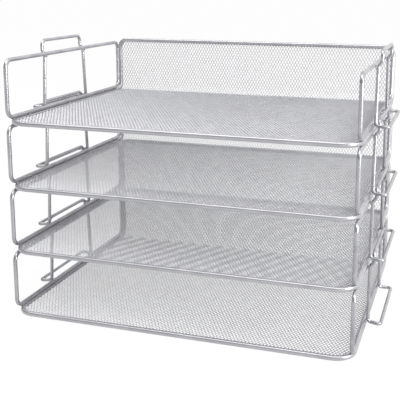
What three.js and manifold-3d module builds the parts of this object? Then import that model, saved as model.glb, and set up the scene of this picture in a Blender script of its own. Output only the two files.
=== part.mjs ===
// Four-tier stackable letter tray: open metal mesh sheets in rolled rims, carried by bent wire sides.
// Millimetres, +X to the right, +Y to the back, +Z up. The origin is under the middle of the stack.
import * as THREE from 'three';
import { mergeVertices } from 'three/addons/utils/BufferGeometryUtils.js';
import Module from 'manifold-3d';

const wasm = await Module();
wasm.setup();

// Driving sizes of one tray, measured between centre lines of the rim
const trayCount = 4;
const trayWidth = 331;
const trayDepth = 252;
const frontCornerRadius = 18;
const backFoldRadius = 8;
const wallCornerRadius = 9;

// Rolled rim, with a slot on its inner side that grips the edge of the mesh sheet
const rimThickness = 4.6;
const rimBevel = 1.2;
const rimSlotDepth = 2;

// Mesh sheet, whose gaps are longest along the depth
const sheetThickness = 1.2;
const sheetBorder = 3.2;
const latticeLap = 0.5;
const gapWidth = 42;
const gapDepth = 72;
const strandWidth = 3;
const knuckleLength = 7;

// Side frame, a rounded rectangle of wire on top of the rim
const frameWire = 4;
const frameCornerRadius = 8;
const frameFrontInset = 2.6;
const frameBackInset = 8;
const frameHeight = 54.2;

// Stacking loop, one closed wire on the outside of each side frame
const loopWire = 3.4;
const loopFrontLeg = 76;
const loopDepth = 90;
const legLean = 4;
const loopBendRadius = 3.4;
const hoopRise = 13;
const hoopOutset = 3.2;
const hoopBendRadius = 6;
const joggleDrop = 1.2;
const joggleHeight = 4.2;
const joggleBendRadius = 2.5;
const ledgeReach = 12.3;
const ledgeLift = 4;
const ledgeDroop = 0.6;
const ledgeFlare = 2.5;

// Clearances
const weldGap = 0.15;
const restGap = 0.15;
const slotClearance = 0.3;
const hoopClearance = 1.4;
const wallClearance = 2.1;

// Worked out from the values above
const rimRadius = rimThickness / 2;
const frameRadius = frameWire / 2;
const loopRadius = loopWire / 2;
const halfWidth = trayWidth / 2;
const bottomRailHeight = rimRadius + weldGap + frameRadius;
const topRailHeight = bottomRailHeight + frameHeight;
const tierPitch = topRailHeight + frameRadius + restGap + rimRadius;
const backWallHeight = tierPitch - wallClearance;
const loopPlane = halfWidth + frameRadius + weldGap + loopRadius;
const hoopInset = loopWire + hoopClearance;
const sheetInset = rimRadius - rimSlotDepth + slotClearance;
const slotHalfHeight = sheetThickness / 2 + slotClearance;

// Facets along the bends
const wireSides = 8;
const loopSides = 6;
const quarterTurnFacets = 4;
const foldFacets = 3;
const knuckleCorners = 8;

// Points along a quarter turn from one direction to another, both seen from the corner of the bend
function quarterTurn(corner, from, to, radius, facets) {
  const centre = corner.clone().addScaledVector(from, -radius).addScaledVector(to, radius);
  const points = [];
  for (let i = 0; i <= facets; i += 1) {
    const angle = (Math.PI / 2) * (i / facets);
    const point = centre.clone();
    point.addScaledVector(to, -radius * Math.cos(angle));
    point.addScaledVector(from, radius * Math.sin(angle));
    points.push(point);
  }
  return points;
}

// Rounds every corner of a closed run of straight wire with its own radius
function roundedLoop(corners, facets) {
  const points = [];
  for (let i = 0; i < corners.length; i += 1) {
    const { at, radius } = corners[i];
    const before = corners[(i + corners.length - 1) % corners.length].at.clone().sub(at).normalize();
    const after = corners[(i + 1) % corners.length].at.clone().sub(at).normalize();
    const halfAngle = before.angleTo(after) / 2;
    const reach = radius / Math.tan(halfAngle);
    const bisector = before.clone().add(after).normalize();
    const centre = at.clone().addScaledVector(bisector, radius / Math.sin(halfAngle));
    const start = at.clone().addScaledVector(before, reach).sub(centre);
    const end = at.clone().addScaledVector(after, reach).sub(centre);
    const turn = start.angleTo(end);
    const steps = Math.max(1, Math.round((facets * turn) / (Math.PI / 2)));
    for (let j = 0; j <= steps; j += 1) {
      const share = j / steps;
      const blend = start.clone().multiplyScalar(Math.sin((1 - share) * turn) / Math.sin(turn));
      blend.addScaledVector(end, Math.sin(share * turn) / Math.sin(turn));
      points.push(centre.clone().add(blend));
    }
  }
  return points;
}

// Joins rings of points, one after another and the last to the first, into one closed skin
function closedSkin(rings, lastTurn) {
  const sides = rings[0].length;
  const positions = rings.flat().flatMap((point) => [point.x, point.y, point.z]);
  const index = [];
  for (let i = 0; i < rings.length; i += 1) {
    const next = (i + 1) % rings.length;
    const turn = next === 0 ? lastTurn : 0;
    for (let j = 0; j < sides; j += 1) {
      const a = i * sides + j;
      const b = i * sides + ((j + 1) % sides);
      const c = next * sides + ((j + 1 + turn) % sides);
      const d = next * sides + ((j + turn) % sides);
      index.push(a, b, c, a, c, d);
    }
  }
  const geometry = new THREE.BufferGeometry();
  geometry.setAttribute('position', new THREE.Float32BufferAttribute(positions, 3));
  geometry.setIndex(index);
  return geometry;
}

// A round wire bent to a closed loop; its flats face the first side direction that is given
function wireLoop(points, radius, sides, firstSide) {
  const count = points.length;
  const outerRadius = radius / Math.cos(Math.PI / sides);
  const tangents = points.map((point, i) => {
    const ahead = points[(i + 1) % count].clone().sub(point).normalize();
    const behind = point.clone().sub(points[(i + count - 1) % count]).normalize();
    return ahead.add(behind).normalize();
  });
  const side = firstSide.clone();
  const rings = points.map((point, i) => {
    if (i > 0) {
      side.applyQuaternion(new THREE.Quaternion().setFromUnitVectors(tangents[i - 1], tangents[i]));
    }
    side.addScaledVector(tangents[i], -side.dot(tangents[i])).normalize();
    const across = tangents[i].clone().cross(side);
    const ring = [];
    for (let j = 0; j < sides; j += 1) {
      const angle = (2 * Math.PI * (j + 0.5)) / sides;
      const corner = point.clone().addScaledVector(side, outerRadius * Math.cos(angle));
      ring.push(corner.addScaledVector(across, outerRadius * Math.sin(angle)));
    }
    return ring;
  });
  const last = side.clone();
  last.applyQuaternion(new THREE.Quaternion().setFromUnitVectors(tangents[count - 1], tangents[0]));
  const firstAcross = tangents[0].clone().cross(firstSide);
  const twist = Math.atan2(last.dot(firstAcross), last.dot(firstSide));
  const lastTurn = (Math.round((twist * sides) / (2 * Math.PI)) + sides) % sides;
  return closedSkin(rings, lastTurn);
}

// Turns a three.js geometry into a solid for joining and cutting
function toSolid(geometry) {
  const bare = geometry.clone();
  bare.deleteAttribute('normal');
  bare.deleteAttribute('uv');
  const merged = mergeVertices(bare, 1e-4);
  return new wasm.Manifold(new wasm.Mesh({
    numProp: 3,
    vertProperties: new Float32Array(merged.attributes.position.array),
    triVerts: new Uint32Array(merged.index.array),
  }));
}

// Turns a solid back into a three.js geometry
function toGeometry(solid) {
  const mesh = solid.getMesh();
  const geometry = new THREE.BufferGeometry();
  geometry.setAttribute('position', new THREE.BufferAttribute(mesh.vertProperties, 3));
  geometry.setIndex(new THREE.BufferAttribute(mesh.triVerts, 1));
  return geometry;
}

// Where the rim's centre line runs, with the way to the inside and the sheet's own upward direction
function rimStations() {
  const up = new THREE.Vector3(0, 0, 1);
  const forward = new THREE.Vector3(0, -1, 0);
  const right = new THREE.Vector3(1, 0, 0);
  const stations = [];
  const add = (points, inwardAt, normalAt) => {
    points.forEach((at, i) => {
      const share = i / (points.length - 1);
      stations.push({ at, inward: inwardAt(share).normalize(), normal: normalAt(share).normalize() });
    });
  };
  const mix = (a, b) => (share) => {
    const angle = (share * Math.PI) / 2;
    return a.clone().multiplyScalar(Math.cos(angle)).addScaledVector(b, Math.sin(angle));
  };
  const same = (a) => () => a.clone();
  const left = right.clone().negate();
  const back = forward.clone().negate();
  const down = up.clone().negate();
  const frontLeft = new THREE.Vector3(-halfWidth, 0, 0);
  const frontRight = new THREE.Vector3(halfWidth, 0, 0);
  const foldRight = new THREE.Vector3(halfWidth, trayDepth, 0);
  const foldLeft = new THREE.Vector3(-halfWidth, trayDepth, 0);
  const topRight = new THREE.Vector3(halfWidth, trayDepth, backWallHeight);
  const topLeft = new THREE.Vector3(-halfWidth, trayDepth, backWallHeight);
  const turn = quarterTurnFacets;
  add(quarterTurn(frontLeft, forward, right, frontCornerRadius, turn), mix(right, back), same(up));
  add(quarterTurn(frontRight, right, back, frontCornerRadius, turn), mix(back, left), same(up));
  add(quarterTurn(foldRight, back, up, backFoldRadius, foldFacets), same(left), mix(up, forward));
  add(quarterTurn(topRight, up, left, wallCornerRadius, turn), mix(left, down), same(forward));
  add(quarterTurn(topLeft, left, down, wallCornerRadius, turn), mix(down, right), same(forward));
  add(quarterTurn(foldLeft, down, forward, backFoldRadius, foldFacets), same(right), mix(forward, up));
  return stations;
}

// Outline of the rim cut across: a bevelled square, open to the inside where it grips the sheet
function rimSection() {
  const r = rimRadius;
  const flat = r - rimBevel;
  const bottomOfSlot = r - rimSlotDepth;
  return [
    [-r, flat],
    [-r, -flat],
    [-flat, -r],
    [flat, -r],
    [r, -flat],
    [r, -slotHalfHeight],
    [bottomOfSlot, -slotHalfHeight],
    [bottomOfSlot, slotHalfHeight],
    [r, slotHalfHeight],
    [r, flat],
    [flat, r],
    [-flat, r],
  ];
}

function edgeRimGeometry() {
  const section = rimSection();
  const rings = rimStations().map(({ at, inward, normal }) => section.map(([across, rise]) => (
    at.clone().addScaledVector(inward, across).addScaledVector(normal, rise)
  )));
  return closedSkin(rings, 0);
}

// The bent sheet seen from its side, set in from the rim's centre line where the slot begins
function sheetProfile(inset, thickness) {
  const half = thickness / 2;
  const outer = backFoldRadius + half;
  const inner = backFoldRadius - half;
  const top = backWallHeight - inset;
  const centreY = trayDepth - backFoldRadius;
  const profile = new THREE.Shape();
  const arc = (radius, i) => {
    const angle = (Math.PI / 2) * (i / foldFacets);
    profile.lineTo(centreY + radius * Math.sin(angle), backFoldRadius - radius * Math.cos(angle));
  };
  profile.moveTo(inset, -half);
  for (let i = 0; i <= foldFacets; i += 1) {
    arc(outer, i);
  }
  profile.lineTo(trayDepth + half, top);
  profile.lineTo(trayDepth - half, top);
  for (let i = foldFacets; i >= 0; i -= 1) {
    arc(inner, i);
  }
  profile.lineTo(inset, half);
  return profile;
}

// A profile drawn in depth and height, pushed out along the width
function alongWidth(profile, width) {
  const geometry = new THREE.ExtrudeGeometry(profile, { depth: width, bevelEnabled: false });
  geometry.translate(0, 0, -width / 2);
  const frame = new THREE.Matrix4().makeBasis(
    new THREE.Vector3(0, 1, 0),
    new THREE.Vector3(0, 0, 1),
    new THREE.Vector3(1, 0, 0),
  );
  geometry.applyMatrix4(frame);
  return toSolid(geometry);
}

// Outline with two rounded corners at one end and square corners at the other
function tonguePlan(width, nearEnd, farEnd, radius) {
  const half = width / 2;
  const plan = new THREE.Shape();
  plan.moveTo(half, farEnd);
  plan.lineTo(-half, farEnd);
  plan.lineTo(-half, nearEnd + radius);
  for (let i = 0; i <= quarterTurnFacets; i += 1) {
    const angle = (Math.PI / 2) * (i / quarterTurnFacets);
    plan.lineTo(-half + radius * (1 - Math.cos(angle)), nearEnd + radius * (1 - Math.sin(angle)));
  }
  for (let i = 0; i <= quarterTurnFacets; i += 1) {
    const angle = (Math.PI / 2) * (i / quarterTurnFacets);
    plan.lineTo(half - radius * (1 - Math.sin(angle)), nearEnd + radius * (1 - Math.cos(angle)));
  }
  return plan;
}

// Space inside the rim, less an inset: a plan seen from above meets a plan seen from the front
function sheetSpace(inset) {
  const width = trayWidth - 2 * inset;
  const reach = 2 * backWallHeight;
  const floorPlan = tonguePlan(width, inset, trayDepth + reach, frontCornerRadius - inset);
  const floor = new THREE.ExtrudeGeometry(floorPlan, { depth: 2 * reach, bevelEnabled: false });
  floor.translate(0, 0, -reach);
  const wallPlan = tonguePlan(width, inset, backWallHeight + reach, wallCornerRadius - inset);
  const wall = new THREE.ExtrudeGeometry(wallPlan, { depth: 2 * trayDepth, bevelEnabled: false });
  const frame = new THREE.Matrix4().makeBasis(
    new THREE.Vector3(1, 0, 0),
    new THREE.Vector3(0, 0, -1),
    new THREE.Vector3(0, 1, 0),
  );
  wall.applyMatrix4(frame);
  wall.translate(0, -trayDepth / 2, backWallHeight);
  return toSolid(floor).intersect(toSolid(wall));
}

// A point of the flat sheet after bending: how far along the width, how far along the depth and up
function bentPoint(along, run, lift) {
  const foldStart = trayDepth - backFoldRadius;
  const foldLength = (Math.PI / 2) * backFoldRadius;
  if (run <= foldStart) {
    return new THREE.Vector3(along, run, lift);
  }
  if (run >= foldStart + foldLength) {
    return new THREE.Vector3(along, trayDepth - lift, backFoldRadius + run - foldStart - foldLength);
  }
  const angle = (run - foldStart) / backFoldRadius;
  const radius = backFoldRadius - lift;
  return new THREE.Vector3(
    along,
    foldStart + radius * Math.sin(angle),
    backFoldRadius - radius * Math.cos(angle),
  );
}

// Diamond lattice of the expanded sheet: every knuckle is joined to its four neighbours by strands
function latticeSolid() {
  const rowStep = gapDepth / 2;
  const foldStart = trayDepth - backFoldRadius;
  const foldLength = (Math.PI / 2) * backFoldRadius;
  const rowsBefore = Math.ceil(foldStart / rowStep) + 1;
  const rowsAfter = Math.ceil(backWallHeight / rowStep) + 1;
  const columns = Math.ceil(halfWidth / gapWidth) + 1;
  const half = sheetThickness / 2;
  const runs = [];
  for (let i = rowsBefore; i >= 0; i -= 1) {
    runs.push(foldStart - i * rowStep);
  }
  for (let i = 0; i <= rowsAfter; i += 1) {
    runs.push(foldStart + foldLength + i * rowStep);
  }
  const positions = [];
  const index = [];
  // Eight corners of a knuckle: front, right, back and left tips, below and then above
  const knuckleNumber = (row, column) => row * (2 * columns + 1) + column + columns;
  const knuckleStart = (row, column) => knuckleNumber(row, column) * knuckleCorners;
  runs.forEach((run, row) => {
    for (let column = -columns; column <= columns; column += 1) {
      const middle = (column + (row % 2) / 2) * gapWidth;
      const tips = [
        [0, -knuckleLength / 2],
        [strandWidth / 2, 0],
        [0, knuckleLength / 2],
        [-strandWidth / 2, 0],
      ];
      for (const lift of [-half, half]) {
        for (const [aside, ahead] of tips) {
          const point = bentPoint(middle + aside, run + ahead, lift);
          positions.push(point.x, point.y, point.z);
        }
      }
    }
  });
  const quad = (a, b, c, d) => index.push(a, b, c, a, c, d);
  const strip = (corners) => {
    const [a, b, c, d] = corners;
    quad(d, c, b, a);
    quad(a + 4, b + 4, c + 4, d + 4);
  };
  const wall = (a, b) => quad(a, b, b + 4, a + 4);
  const strand = (near, nearSide, nearTip, far, farSide, farTip) => {
    if (near === null || far === null) {
      return false;
    }
    const onRight = nearSide === 1;
    const corners = [near + nearSide, far + farTip, far + farSide, near + nearTip];
    strip(onRight ? corners : corners.reverse());
    if (onRight) {
      wall(near + nearSide, far + farTip);
      wall(far + farSide, near + nearTip);
    } else {
      wall(far + farTip, near + nearSide);
      wall(near + nearTip, far + farSide);
    }
    return true;
  };
  const knuckleAt = (row, column) => {
    const inside = row >= 0 && row < runs.length && column >= -columns && column <= columns;
    return inside ? knuckleStart(row, column) : null;
  };
  for (let row = 0; row < runs.length; row += 1) {
    for (let column = -columns; column <= columns; column += 1) {
      const here = knuckleStart(row, column);
      strip([here, here + 1, here + 2, here + 3]);
      const rightColumn = row % 2 === 0 ? column : column + 1;
      const backRight = knuckleAt(row + 1, rightColumn);
      const backLeft = knuckleAt(row + 1, rightColumn - 1);
      const frontRight = knuckleAt(row - 1, rightColumn);
      const frontLeft = knuckleAt(row - 1, rightColumn - 1);
      if (!strand(here, 1, 2, backRight, 3, 0)) {
        wall(here + 1, here + 2);
      }
      if (!strand(here, 3, 2, backLeft, 1, 0)) {
        wall(here + 2, here + 3);
      }
      if (frontRight === null) {
        wall(here, here + 1);
      }
      if (frontLeft === null) {
        wall(here + 3, here);
      }
    }
  }
  const geometry = new THREE.BufferGeometry();
  geometry.setAttribute('position', new THREE.Float32BufferAttribute(positions, 3));
  geometry.setIndex(index);
  return toSolid(geometry);
}

function meshSheetGeometry() {
  const plate = alongWidth(sheetProfile(sheetInset, sheetThickness), trayWidth);
  const whole = plate.intersect(sheetSpace(sheetInset));
  const border = whole.subtract(sheetSpace(sheetInset + sheetBorder));
  const lattice = latticeSolid().intersect(sheetSpace(sheetInset + sheetBorder - latticeLap));
  return toGeometry(border.add(lattice));
}

function sideFrameGeometry() {
  const front = frameFrontInset;
  const back = trayDepth - frameBackInset;
  const corners = [
    [front, bottomRailHeight],
    [back, bottomRailHeight],
    [back, topRailHeight],
    [front, topRailHeight],
  ].map(([y, z]) => ({ at: new THREE.Vector3(0, y, z), radius: frameCornerRadius }));
  const path = roundedLoop(corners, quarterTurnFacets);
  return wireLoop(path, frameRadius, wireSides, new THREE.Vector3(1, 0, 0));
}

// One closed wire: legs that lean together, a hoop on top and a ledge that the hoop below comes up through
function stackingLoopGeometry(outward) {
  const front = loopFrontLeg;
  const back = front + loopDepth;
  const hoopTop = topRailHeight + hoopRise;
  const joggleBottom = topRailHeight - joggleDrop;
  const joggleTop = joggleBottom + joggleHeight;
  const ledgeHeight = ledgeLift - ledgeDroop;
  const corner = (x, y, z, radius) => ({ at: new THREE.Vector3(outward * x, y, z), radius });
  const corners = [
    corner(0, front + legLean, joggleBottom, joggleBendRadius),
    corner(0, front, ledgeLift, loopBendRadius),
    corner(ledgeReach, front - ledgeFlare, ledgeHeight, loopBendRadius),
    corner(ledgeReach, back + ledgeFlare, ledgeHeight, loopBendRadius),
    corner(0, back, ledgeLift, loopBendRadius),
    corner(0, back - legLean, joggleBottom, joggleBendRadius),
    corner(hoopOutset, back - hoopInset, joggleTop, joggleBendRadius),
    corner(hoopOutset, back - hoopInset, hoopTop, hoopBendRadius),
    corner(hoopOutset, front + hoopInset, hoopTop, hoopBendRadius),
    corner(hoopOutset, front + hoopInset, joggleTop, joggleBendRadius),
  ];
  const path = roundedLoop(corners, quarterTurnFacets - 1);
  return wireLoop(path, loopRadius, loopSides, new THREE.Vector3(outward, 0, 0));
}

// Finishes: the same silver coat on every piece, a little greyer where light falls through the mesh
const finish = (color, roughness, metalness) => (
  new THREE.MeshStandardMaterial({ color, roughness, metalness })
);
const wireFinish = () => finish(0xc9cad0, 0.32, 0.6);
const rimFinish = () => finish(0xd0d2d6, 0.36, 0.55);
const meshFinish = () => finish(0xb4b6bb, 0.42, 0.55);

function piece(name, geometry, material, x = 0) {
  const mesh = new THREE.Mesh(geometry, material);
  mesh.name = name;
  mesh.position.x = x;
  return mesh;
}

const sheet = meshSheetGeometry();
const rim = edgeRimGeometry();
const frame = sideFrameGeometry();
const leftLoop = stackingLoopGeometry(-1);
const rightLoop = stackingLoopGeometry(1);

function tray(number) {
  const group = new THREE.Group();
  const prefix = `tray_${number}`;
  group.add(piece(`${prefix}_mesh_sheet`, sheet, meshFinish()));
  group.add(piece(`${prefix}_edge_rim`, rim, rimFinish()));
  group.add(piece(`${prefix}_left_side_frame`, frame, wireFinish(), -halfWidth));
  group.add(piece(`${prefix}_right_side_frame`, frame, wireFinish(), halfWidth));
  group.add(piece(`${prefix}_left_stacking_loop`, leftLoop, wireFinish(), -loopPlane));
  group.add(piece(`${prefix}_right_stacking_loop`, rightLoop, wireFinish(), loopPlane));
  group.position.z = rimRadius + (number - 1) * tierPitch;
  return group;
}

const letterTray = new THREE.Group();
letterTray.position.y = -trayDepth / 2;
for (let number = 1; number <= trayCount; number += 1) {
  letterTray.add(tray(number));
}

export default letterTray;
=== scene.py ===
import bpy
import bmesh
import math
from mathutils import Matrix, Vector


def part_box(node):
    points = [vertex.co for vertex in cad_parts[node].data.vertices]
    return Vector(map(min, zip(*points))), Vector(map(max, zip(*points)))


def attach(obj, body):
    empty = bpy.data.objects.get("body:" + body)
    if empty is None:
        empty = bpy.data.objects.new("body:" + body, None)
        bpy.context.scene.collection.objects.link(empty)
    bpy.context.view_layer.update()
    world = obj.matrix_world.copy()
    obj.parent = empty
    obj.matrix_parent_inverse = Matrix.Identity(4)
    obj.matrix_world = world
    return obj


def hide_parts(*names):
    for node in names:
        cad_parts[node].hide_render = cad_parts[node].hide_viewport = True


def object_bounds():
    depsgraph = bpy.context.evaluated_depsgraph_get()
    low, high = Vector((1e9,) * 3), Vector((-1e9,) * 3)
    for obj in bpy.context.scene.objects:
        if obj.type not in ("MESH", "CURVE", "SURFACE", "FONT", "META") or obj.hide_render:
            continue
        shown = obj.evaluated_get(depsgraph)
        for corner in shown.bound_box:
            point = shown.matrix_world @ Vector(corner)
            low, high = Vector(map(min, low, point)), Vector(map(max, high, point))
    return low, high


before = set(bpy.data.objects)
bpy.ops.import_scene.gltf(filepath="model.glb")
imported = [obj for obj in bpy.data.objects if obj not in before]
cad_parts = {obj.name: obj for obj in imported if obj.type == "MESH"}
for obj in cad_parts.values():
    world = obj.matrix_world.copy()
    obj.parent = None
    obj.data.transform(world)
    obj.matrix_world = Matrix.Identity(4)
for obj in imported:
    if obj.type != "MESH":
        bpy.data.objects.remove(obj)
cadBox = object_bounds()
print("frame loaded:", len(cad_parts), "nodes")

mm = 0.001
quarterTurn = math.pi / 2
samePoint = 1e-6  # metres: nearer than this, two points of a wire are one
onPlane = 1e-7  # metres: nearer than this, a point lies on the plane that trims the mesh
trays = ["tray_1", "tray_2", "tray_3", "tray_4"]
upward = Vector((0, 0, 1))
aside = Vector((1, 0, 0))
backward = Vector((0, 1, 0))


# Steps that several pieces share

def vec(x, y, z):
    return Vector((x, y, z)) * mm


def ringAcross(bm, start, along, side, radius, count):
    # a circle of points standing across the wire, its first gap facing the side direction
    across = along.cross(side)
    turned = Matrix((side, across, along)).transposed().to_4x4()
    halfStep = Matrix.Rotation(math.pi / count, 4, "Z")
    made = bmesh.ops.create_circle(
        bm, cap_ends=False, radius=radius, segments=count,
        matrix=Matrix.Translation(start) @ turned @ halfStep)
    verts = set(made["verts"])
    return [e for e in bm.edges if e.verts[0] in verts and e.verts[1] in verts]


def bendWire(bm, ring, corners, facets):
    # the ring stands halfway between the last corner and the first; the wire runs round and closes
    firstRing = ring
    place = (corners[-1][0] + corners[0][0]) / 2
    for i, (at, radius) in enumerate(corners):
        before = (at - corners[i - 1][0]).normalized()
        after = (corners[(i + 1) % len(corners)][0] - at).normalized()
        turn = before.angle(after)
        reach = radius * math.tan(turn / 2)
        axis = before.cross(after).normalized()
        centre = at - before * reach + axis.cross(before) * radius
        grown = bmesh.ops.extrude_edge_only(bm, edges=ring)["geom"]
        verts = [v for v in grown if isinstance(v, bmesh.types.BMVert)]
        edges = [e for e in grown if isinstance(e, bmesh.types.BMEdge)
                 and e.verts[0] in verts and e.verts[1] in verts]
        bmesh.ops.translate(bm, verts=verts, vec=at - before * reach - place)
        steps = max(2, round(facets * turn / quarterTurn))
        spun = bmesh.ops.spin(
            bm, geom=verts + edges, cent=centre, axis=axis, angle=turn, steps=steps,
            use_merge=False, use_duplicate=False)
        ring = [e for e in spun["geom_last"] if isinstance(e, bmesh.types.BMEdge)]
        place = at + after * reach
    bmesh.ops.bridge_loops(bm, edges=firstRing + ring)
    bmesh.ops.remove_doubles(bm, verts=bm.verts[:], dist=samePoint)
    bmesh.ops.recalc_face_normals(bm, faces=bm.faces[:])


def finishPiece(name, mesh, body, nodes):
    piece = bpy.data.objects.new(name, mesh)
    bpy.context.scene.collection.objects.link(piece)
    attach(piece, body)
    if nodes:
        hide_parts(*nodes)


def meshFrom(bm, name, material, smooth):
    mesh = bpy.data.meshes.new(name)
    bm.to_mesh(mesh)
    bm.free()
    mesh.materials.append(material)
    mesh.polygons.foreach_set("use_smooth", [smooth] * len(mesh.polygons))
    mesh.update()
    return mesh


# Silver coats

wireLook = {"light": (0.46, 0.46, 0.485), "dark": (0.36, 0.36, 0.38), "metallic": 0.85,
            "rough": (0.22, 0.31), "patch": 60.0, "grain": 900.0, "bump": 0.02}
rimLook = {"light": (0.5, 0.5, 0.523), "dark": (0.44, 0.44, 0.46), "metallic": 0.8,
           "rough": (0.27, 0.36), "patch": 60.0, "grain": 800.0, "bump": 0.02}
meshLook = {"light": (0.57, 0.57, 0.593), "dark": (0.5, 0.5, 0.52), "metallic": 0.4,
            "rough": (0.42, 0.54), "patch": 110.0, "grain": 1200.0, "bump": 0.04}
weldLook = {"light": (0.36, 0.36, 0.378), "dark": (0.28, 0.28, 0.294), "metallic": 0.6,
            "rough": (0.38, 0.55), "patch": 240.0, "grain": 1600.0, "bump": 0.18}
lacquer = {"weight": 0.12, "rough": 0.25, "darkBelow": 0.32, "lightAbove": 0.62,
           "patchDetail": 3.0, "grainDetail": 2.0, "grainHeight": 0.4}


def silverCoat(name, look):
    material = bpy.data.materials.new(name)
    material.use_nodes = True
    nodes = material.node_tree.nodes
    links = material.node_tree.links
    shader = nodes["Principled BSDF"]
    shader.inputs["Metallic"].default_value = look["metallic"]
    shader.inputs["Coat Weight"].default_value = lacquer["weight"]
    shader.inputs["Coat Roughness"].default_value = lacquer["rough"]
    place = nodes.new("ShaderNodeTexCoord")
    patches = nodes.new("ShaderNodeTexNoise")  # the paint lies a little thicker here and there
    patches.inputs["Scale"].default_value = look["patch"]
    patches.inputs["Detail"].default_value = lacquer["patchDetail"]
    tint = nodes.new("ShaderNodeValToRGB")
    tint.color_ramp.elements[0].position = lacquer["darkBelow"]
    tint.color_ramp.elements[0].color = (*look["dark"], 1)
    tint.color_ramp.elements[1].position = lacquer["lightAbove"]
    tint.color_ramp.elements[1].color = (*look["light"], 1)
    gloss = nodes.new("ShaderNodeMapRange")
    gloss.inputs["To Min"].default_value = look["rough"][1]
    gloss.inputs["To Max"].default_value = look["rough"][0]
    grain = nodes.new("ShaderNodeTexNoise")  # the fine orange peel of a sprayed coat
    grain.inputs["Scale"].default_value = look["grain"]
    grain.inputs["Detail"].default_value = lacquer["grainDetail"]
    bump = nodes.new("ShaderNodeBump")
    bump.inputs["Strength"].default_value = look["bump"]
    bump.inputs["Distance"].default_value = lacquer["grainHeight"] * mm
    links.new(place.outputs["Object"], patches.inputs["Vector"])
    links.new(place.outputs["Object"], grain.inputs["Vector"])
    links.new(patches.outputs["Fac"], tint.inputs["Fac"])
    links.new(patches.outputs["Fac"], gloss.inputs["Value"])
    links.new(tint.outputs["Color"], shader.inputs["Base Color"])
    links.new(gloss.outputs["Result"], shader.inputs["Roughness"])
    links.new(grain.outputs["Fac"], bump.inputs["Height"])
    links.new(bump.outputs["Normal"], shader.inputs["Normal"])
    return material


wireCoat = silverCoat("silver wire coat", wireLook)
rimCoat = silverCoat("silver rim coat", rimLook)
meshCoat = silverCoat("silver mesh coat", meshLook)
weldCoat = silverCoat("painted weld", weldLook)
print("coats mixed")


# Edge rim: a rolled bead with a slot on its inner side

rim = {"thickness": 4.6, "frontCorner": 18.0, "fold": 8.0, "wallCorner": 9.0,
       "slotDepth": 1.9, "squareness": 2.5, "points": 24, "facets": 10}

rimLow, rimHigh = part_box("tray_1_edge_rim")
rimRadius = rim["thickness"] / 2
halfWidth = rimHigh.x / mm - rimRadius
frontY = rimLow.y / mm + rimRadius
backY = rimHigh.y / mm - rimRadius
baseZ = rimLow.z / mm + rimRadius
wallHeight = rimHigh.z / mm - rimRadius - baseZ


def makeRim():
    corners = [
        (vec(halfWidth, frontY, baseZ), rim["frontCorner"] * mm),
        (vec(halfWidth, backY, baseZ), rim["fold"] * mm),
        (vec(halfWidth, backY, baseZ + wallHeight), rim["wallCorner"] * mm),
        (vec(-halfWidth, backY, baseZ + wallHeight), rim["wallCorner"] * mm),
        (vec(-halfWidth, backY, baseZ), rim["fold"] * mm),
        (vec(-halfWidth, frontY, baseZ), rim["frontCorner"] * mm),
    ]
    bm = bmesh.new()
    start = (corners[-1][0] + corners[0][0]) / 2
    ring = ringAcross(bm, start, aside, upward, rimRadius * mm, rim["points"])
    power = rim["squareness"]
    for vert in bm.verts:
        out = (vert.co - start) / (rimRadius * mm)
        grow = (abs(out.y) ** power + abs(out.z) ** power) ** (-1 / power)
        vert.co = start + out * grow * rimRadius * mm
    # the two innermost points go in, and the rolled edges stand either side of the slot
    inward = [v for v in bm.verts if v.co.y > start.y]
    innermost = sorted(inward, key=lambda v: abs(v.co.z - start.z))[:2]
    bmesh.ops.translate(bm, verts=innermost, vec=vec(0, -rim["slotDepth"], 0))
    bendWire(bm, ring, corners, rim["facets"])
    return meshFrom(bm, "edgeRim", rimCoat, True)


# Side frame and stacking loop: bent wires

sideFrame = {"wire": 4.0, "corner": 8.0, "points": 20, "facets": 9}
stackingLoop = {"wire": 3.4, "frontLeg": 76.0, "span": 90.0, "legLean": 4.0, "bend": 3.4,
                "hoopRise": 13.0, "hoopOutset": 3.2, "hoopInset": 4.8, "hoopBend": 6.0,
                "joggleDrop": 1.2, "joggleHeight": 4.2, "joggleBend": 2.5, "ledgeReach": 12.3,
                "ledgeLift": 4.0, "ledgeDroop": 0.6, "ledgeFlare": 2.5, "weldGap": 0.15,
                "points": 18, "facets": 8}

frameLow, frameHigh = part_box("tray_1_right_side_frame")
frameRadius = sideFrame["wire"] / 2
frameFront = frameLow.y / mm + frameRadius
frameBack = frameHigh.y / mm - frameRadius
railLow = frameLow.z / mm + frameRadius
railHigh = frameHigh.z / mm - frameRadius
loopRadius = stackingLoop["wire"] / 2
loopPlane = halfWidth + frameRadius + stackingLoop["weldGap"] + loopRadius
legFoot = baseZ + stackingLoop["ledgeLift"]
legTop = railHigh - stackingLoop["joggleDrop"]


def makeSideFrame(side):
    x = side * halfWidth
    bend = sideFrame["corner"] * mm
    corners = [
        (vec(x, frameFront, railHigh), bend),
        (vec(x, frameFront, railLow), bend),
        (vec(x, frameBack, railLow), bend),
        (vec(x, frameBack, railHigh), bend),
    ]
    bm = bmesh.new()
    start = (corners[-1][0] + corners[0][0]) / 2
    ring = ringAcross(bm, start, -backward, upward, frameRadius * mm, sideFrame["points"])
    bendWire(bm, ring, corners, sideFrame["facets"])
    return meshFrom(bm, "sideFrame", wireCoat, True)


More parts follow.
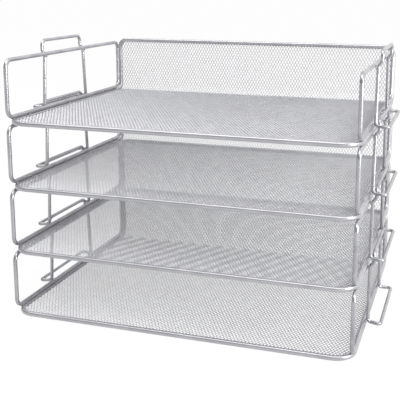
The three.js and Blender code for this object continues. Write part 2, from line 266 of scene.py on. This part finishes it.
def makeStackingLoop(side):
    loop = stackingLoop
    front = frontY + loop["frontLeg"]
    back = front + loop["span"]
    top = railHigh + loop["hoopRise"]
    joggleHigh = legTop + loop["joggleHeight"]
    ledge = legFoot - loop["ledgeDroop"]
    inset = loop["hoopInset"]
    lean = loop["legLean"]

    def corner(out, y, z, bend):
        return vec(side * (loopPlane + out), y, z), loop[bend] * mm

    corners = [
        corner(loop["hoopOutset"], front + inset, top, "hoopBend"),
        corner(loop["hoopOutset"], front + inset, joggleHigh, "joggleBend"),
        corner(0, front + lean, legTop, "joggleBend"),
        corner(0, front, legFoot, "bend"),
        corner(loop["ledgeReach"], front - loop["ledgeFlare"], ledge, "bend"),
        corner(loop["ledgeReach"], back + loop["ledgeFlare"], ledge, "bend"),
        corner(0, back, legFoot, "bend"),
        corner(0, back - lean, legTop, "joggleBend"),
        corner(loop["hoopOutset"], back - inset, joggleHigh, "joggleBend"),
        corner(loop["hoopOutset"], back - inset, top, "hoopBend"),
    ]
    bm = bmesh.new()
    start = (corners[-1][0] + corners[0][0]) / 2
    ring = ringAcross(bm, start, -backward, upward, loopRadius * mm, loop["points"])
    bendWire(bm, ring, corners, loop["facets"])
    return meshFrom(bm, "stackingLoop", wireCoat, True)


# Mesh sheet: expanded steel, cut flat, folded up at the back and given its thickness

meshSheet = {"diamondWidth": 3.35, "diamondDepth": 6.15, "strand": 0.38, "knuckle": 0.9,
             "lean": 0.1, "thickness": 0.6, "inset": 0.7, "cornerCuts": 6, "merge": 0.02}

foldStart = backY - frontY - rim["fold"]
foldLength = quarterTurn * rim["fold"]
sheetRun = foldStart + foldLength + wallHeight - rim["fold"]


def latticeCell(bm):
    # two staggered knuckles and the four strands that leave them towards the back
    across = meshSheet["diamondWidth"]
    along = meshSheet["diamondDepth"]
    tips = [(0, -meshSheet["knuckle"] / 2, 0), (meshSheet["strand"] / 2, 0, meshSheet["lean"]),
            (0, meshSheet["knuckle"] / 2, 0), (-meshSheet["strand"] / 2, 0, -meshSheet["lean"])]

    def knuckle(x, y):
        return [bm.verts.new(vec(x + tip[0], y + tip[1], tip[2])) for tip in tips]

    near = knuckle(0, 0)
    middle = knuckle(across / 2, along / 2)
    middleLeft = knuckle(-across / 2, along / 2)
    far = knuckle(0, along)
    farRight = knuckle(across, along)
    bm.faces.new(near)
    bm.faces.new(middle)
    for start, rightEnd, leftEnd in ((near, middle, middleLeft), (middle, farRight, far)):
        bm.faces.new((start[1], rightEnd[0], rightEnd[3], start[2]))
        bm.faces.new((start[2], leftEnd[1], leftEnd[0], start[3]))


def flatLattice():
    bm = bmesh.new()
    latticeCell(bm)
    seed = bpy.data.meshes.new("latticeSeed")
    bm.to_mesh(seed)
    bm.free()
    helper = bpy.data.objects.new("latticeSeed", seed)
    bpy.context.scene.collection.objects.link(helper)
    # a column and two rows to spare, which the trims take off
    columns = math.ceil(halfWidth / meshSheet["diamondWidth"]) + 1
    rows = math.ceil(sheetRun / meshSheet["diamondDepth"]) + 2
    steps = ((2 * columns + 1, (meshSheet["diamondWidth"], 0, 0)),
             (rows, (0, meshSheet["diamondDepth"], 0)))
    for count, step in steps:
        array = helper.modifiers.new("repeat", "ARRAY")
        array.count = count
        array.use_relative_offset = False
        array.use_constant_offset = True
        array.constant_offset_displace = Vector(step) * mm
    graph = bpy.context.evaluated_depsgraph_get()
    whole = bpy.data.meshes.new_from_object(helper.evaluated_get(graph))
    bpy.data.objects.remove(helper)
    bm = bmesh.new()
    bm.from_mesh(whole)
    bpy.data.meshes.remove(whole)
    shift = vec(-columns * meshSheet["diamondWidth"], -meshSheet["diamondDepth"] / 2, 0)
    bmesh.ops.translate(bm, verts=bm.verts[:], vec=shift)
    bmesh.ops.remove_doubles(bm, verts=bm.verts[:], dist=meshSheet["merge"] * mm)
    return bm


def trim(bm, point, outward):
    bmesh.ops.bisect_plane(
        bm, geom=bm.verts[:] + bm.edges[:] + bm.faces[:], dist=onPlane,
        plane_co=point, plane_no=outward, clear_outer=True)


def trimToOutline(bm):
    inset = meshSheet["inset"]
    half = halfWidth - inset
    ends = ((inset, -1, rim["frontCorner"]), (sheetRun - inset, 1, rim["wallCorner"]))
    trim(bm, vec(half, 0, 0), aside)
    trim(bm, vec(-half, 0, 0), -aside)
    for run, way, corner in ends:
        trim(bm, vec(0, run, 0), backward * way)
        radius = corner - inset
        for side in (-1, 1):
            for i in range(meshSheet["cornerCuts"]):
                angle = (i + 1) / (meshSheet["cornerCuts"] + 1) * quarterTurn
                out = Vector((side * math.cos(angle), way * math.sin(angle), 0))
                middle = vec(side * (half - radius), run - way * radius, 0)
                trim(bm, middle + out * radius * mm, out)


def fold(point):
    run = point.y / mm
    lift = point.z / mm
    if run <= foldStart:
        return vec(point.x / mm, frontY + run, baseZ + lift)
    if run >= foldStart + foldLength:
        up = rim["fold"] + run - foldStart - foldLength
        return vec(point.x / mm, backY - lift, baseZ + up)
    angle = (run - foldStart) / rim["fold"]
    radius = rim["fold"] - lift
    return vec(point.x / mm, frontY + foldStart + radius * math.sin(angle),
               baseZ + rim["fold"] - radius * math.cos(angle))


def makeMeshSheets():
    whole = flatLattice()
    trimToOutline(whole)
    middle = foldStart / 2
    spans = {"FloorFront": (None, middle), "FloorRear": (middle, foldStart),
             "BackWall": (foldStart, None)}
    meshes = {}
    for name, (start, end) in spans.items():
        bm = whole.copy()
        if start is not None:
            trim(bm, vec(0, start, 0), -backward)
        if end is not None:
            trim(bm, vec(0, end, 0), backward)
        for vert in bm.verts:
            vert.co = fold(vert.co)
        bmesh.ops.recalc_face_normals(bm, faces=bm.faces[:])
        bmesh.ops.solidify(bm, geom=bm.faces[:], thickness=meshSheet["thickness"] * mm)
        bmesh.ops.recalc_face_normals(bm, faces=bm.faces[:])
        meshes[name] = meshFrom(bm, "meshSheet" + name, meshCoat, False)
        print("mesh sheet", name, len(meshes[name].polygons), "faces")
    whole.free()
    return meshes


# Welds: small painted beads where wire meets wire and where the frame meets the rim

weld = {"size": 2.2, "frameSpots": (12.0, 40.0, 120.0, 200.0, 234.0), "seamLift": 0.1,
        "seamApart": 1.0, "seamShape": (0.9, 2.0, 0.62), "railDrop": 2.4,
        "legApart": 1.4, "legShape": (0.62, 0.7, 1.3)}


def bead(bm, place, shape):
    made = bmesh.ops.create_icosphere(bm, subdivisions=2, radius=weld["size"] / 2 * mm)
    bmesh.ops.scale(bm, verts=made["verts"], vec=shape)
    bmesh.ops.translate(bm, verts=made["verts"], vec=place)


def makeWelds():
    bm = bmesh.new()
    seam = baseZ + rimRadius + weld["seamLift"]
    front = frontY + stackingLoop["frontLeg"]
    back = front + stackingLoop["span"]
    legs = ((front, stackingLoop["legLean"]), (back, -stackingLoop["legLean"]))
    for side in (-1, 1):
        for run in weld["frameSpots"]:
            for edge in (-1, 1):
                place = vec(side * halfWidth + edge * weld["seamApart"], frontY + run, seam)
                bead(bm, place, weld["seamShape"])
        for foot, lean in legs:
            for z in (railLow, railHigh - weld["railDrop"]):
                y = foot + lean * (z - legFoot) / (legTop - legFoot)
                for edge in (-1, 1):
                    across = y + edge * weld["legApart"]
                    place = vec(side * (halfWidth + frameRadius), across, z)
                    bead(bm, place, weld["legShape"])
    bmesh.ops.recalc_face_normals(bm, faces=bm.faces[:])
    return meshFrom(bm, "welds", weldCoat, True)


# The stack: every piece is made once and set into each tray

parts = {
    "EdgeRim": (makeRim(), "rim_coat", ["edge_rim"]),
    "LeftSideFrame": (makeSideFrame(-1), "wire_coat", ["left_side_frame"]),
    "RightSideFrame": (makeSideFrame(1), "wire_coat", ["right_side_frame"]),
    "LeftStackingLoop": (makeStackingLoop(-1), "wire_coat", ["left_stacking_loop"]),
    "RightStackingLoop": (makeStackingLoop(1), "wire_coat", ["right_stacking_loop"]),
    "Welds": (makeWelds(), "wire_coat", []),
}
for partName, partMesh in makeMeshSheets().items():
    parts["Mesh" + partName] = (partMesh, "mesh_coat", ["mesh_sheet"])

for number, tray in enumerate(trays, 1):
    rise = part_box(tray + "_edge_rim")[0].z - rimLow.z
    for partName, (master, slotName, nodeNames) in parts.items():
        mesh = master.copy()
        mesh.transform(Matrix.Translation((0, 0, rise)))
        nodes = [tray + "_" + nodeName for nodeName in nodeNames]
        finishPiece("tray" + str(number) + partName, mesh, tray, nodes)
    print("tray", number, "dressed")


# Floor, light and camera

studio = {"floorColour": (0.4, 0.4, 0.4), "seenColour": (0.9, 0.9, 0.9), "paperWhite": 0.93,
          "paperRough": 0.9, "paperShine": 0.1, "floorSize": 40.0,
          "skyBright": 1.25, "skyDark": 0.02, "brightWay": (0.5, 0.6, 0.62),
          "sweepLow": 0.05, "sweepHigh": 0.12}
lamps = {
    "overhead softbox": {"place": (-0.15, -0.4, 1.4), "aim": (0, 0, 0.1),
                         "size": (1.9, 0.8), "power": 13.5},
    "right softbox": {"place": (1.0, -0.35, 0.36), "aim": (0, 0, 0.14),
                      "size": (0.3, 0.65), "power": 9.0},
}


def makeFloor():
    bm = bmesh.new()
    bmesh.ops.create_grid(bm, x_segments=1, y_segments=1, size=studio["floorSize"])
    mesh = bpy.data.meshes.new("floor")
    bm.to_mesh(mesh)
    bm.free()
    material = bpy.data.materials.new("floor paper")
    material.use_nodes = True
    nodes = material.node_tree.nodes
    links = material.node_tree.links
    paper = nodes["Principled BSDF"]
    paper.inputs["Base Color"].default_value = (*studio["floorColour"], 1)
    paper.inputs["Roughness"].default_value = studio["paperRough"]
    paper.inputs["Specular IOR Level"].default_value = studio["paperShine"]
    # the camera and every reflection see white paper, with the object's shadow still faintly on it
    white = nodes.new("ShaderNodeEmission")
    white.inputs["Color"].default_value = (1, 1, 1, 1)
    shaded = nodes.new("ShaderNodeBsdfDiffuse")
    shaded.inputs["Color"].default_value = (*studio["seenColour"], 1)
    backdrop = nodes.new("ShaderNodeMixShader")
    backdrop.inputs["Fac"].default_value = studio["paperWhite"]
    rays = nodes.new("ShaderNodeLightPath")
    seen = nodes.new("ShaderNodeMath")
    seen.operation = "MAXIMUM"
    either = nodes.new("ShaderNodeMath")
    either.operation = "MAXIMUM"
    mix = nodes.new("ShaderNodeMixShader")
    links.new(shaded.outputs["BSDF"], backdrop.inputs[1])
    links.new(white.outputs["Emission"], backdrop.inputs[2])
    links.new(rays.outputs["Is Camera Ray"], seen.inputs[0])
    links.new(rays.outputs["Is Glossy Ray"], seen.inputs[1])
    links.new(seen.outputs["Value"], either.inputs[0])
    links.new(rays.outputs["Is Transmission Ray"], either.inputs[1])
    links.new(either.outputs["Value"], mix.inputs["Fac"])
    links.new(paper.outputs["BSDF"], mix.inputs[1])
    links.new(backdrop.outputs["Shader"], mix.inputs[2])
    links.new(mix.outputs["Shader"], nodes["Material Output"].inputs["Surface"])
    mesh.materials.append(material)
    floor = bpy.data.objects.new("floor", mesh)
    floor.location = (0, 0, cadBox[0].z)
    bpy.context.scene.collection.objects.link(floor)


def makeSky():
    world = bpy.data.worlds.new("studio")
    bpy.context.scene.world = world
    world.use_nodes = True
    nodes = world.node_tree.nodes
    links = world.node_tree.links
    place = nodes.new("ShaderNodeTexCoord")
    facing = nodes.new("ShaderNodeVectorMath")
    facing.operation = "DOT_PRODUCT"
    facing.inputs[1].default_value = studio["brightWay"]
    level = nodes.new("ShaderNodeMapRange")
    level.inputs["From Min"].default_value = -1.0
    level.inputs["From Max"].default_value = 1.0
    level.inputs["To Min"].default_value = studio["skyDark"]
    level.inputs["To Max"].default_value = studio["skyBright"]
    links.new(place.outputs["Generated"], facing.inputs[0])
    links.new(facing.outputs["Value"], level.inputs["Value"])
    # near the floor the sky is white all round, like the sweep of a paper backdrop
    split = nodes.new("ShaderNodeSeparateXYZ")
    sweep = nodes.new("ShaderNodeMapRange")
    sweep.inputs["From Min"].default_value = studio["sweepLow"]
    sweep.inputs["From Max"].default_value = studio["sweepHigh"]
    sweep.inputs["To Min"].default_value = 1.0
    sweep.inputs["To Max"].default_value = 0.0
    blend = nodes.new("ShaderNodeMix")
    blend.inputs["B"].default_value = 1.0
    links.new(place.outputs["Generated"], split.inputs["Vector"])
    links.new(split.outputs["Z"], sweep.inputs["Value"])
    links.new(sweep.outputs["Result"], blend.inputs["Factor"])
    links.new(level.outputs["Result"], blend.inputs["A"])
    links.new(blend.outputs["Result"], nodes["Background"].inputs["Strength"])
    nodes["Background"].inputs["Color"].default_value = (1, 1, 1, 1)


def softBox(name, lamp):
    light = bpy.data.lights.new(name, "AREA")
    light.shape = "RECTANGLE"
    light.size, light.size_y = lamp["size"]
    light.energy = lamp["power"]
    box = bpy.data.objects.new(name, light)
    box.location = lamp["place"]
    ahead = Vector(lamp["aim"]) - Vector(lamp["place"])
    box.rotation_euler = ahead.to_track_quat("-Z", "Y").to_euler()
    bpy.context.scene.collection.objects.link(box)


# the camera stands to the right of the front and looks a little down
view = {"place": (250.5, -754.7, 323.8), "yaw": 17.38, "pitch": 11.07, "roll": 0.24,
        "focalPixels": 781.8, "middle": (228.7, 133.9), "pictureSide": 400,
        "sensor": 36, "nearest": 0.02, "farthest": 60}


def makeCamera():
    data = bpy.data.cameras.new("camera")
    side = view["pictureSide"]
    data.sensor_width = view["sensor"]
    data.lens = view["focalPixels"] / side * view["sensor"]
    data.shift_x = (side / 2 - view["middle"][0]) / side
    data.shift_y = (view["middle"][1] - side / 2) / side
    data.clip_start = view["nearest"]
    data.clip_end = view["farthest"]
    camera = bpy.data.objects.new("camera", data)
    yaw = math.radians(view["yaw"])
    pitch = math.radians(view["pitch"])
    level = math.cos(pitch)
    ahead = Vector((-math.sin(yaw) * level, math.cos(yaw) * level, -math.sin(pitch)))
    facing = ahead.to_track_quat("-Z", "Y").to_matrix().to_4x4()
    roll = Matrix.Rotation(math.radians(view["roll"]), 4, "Z")
    camera.matrix_world = Matrix.Translation(vec(*view["place"])) @ facing @ roll
    bpy.context.scene.collection.objects.link(camera)
    bpy.context.scene.camera = camera


makeFloor()
makeSky()
for lampName, lamp in lamps.items():
    softBox(lampName, lamp)
makeCamera()
bpy.context.scene.view_settings.view_transform = "Standard"
print("studio ready")
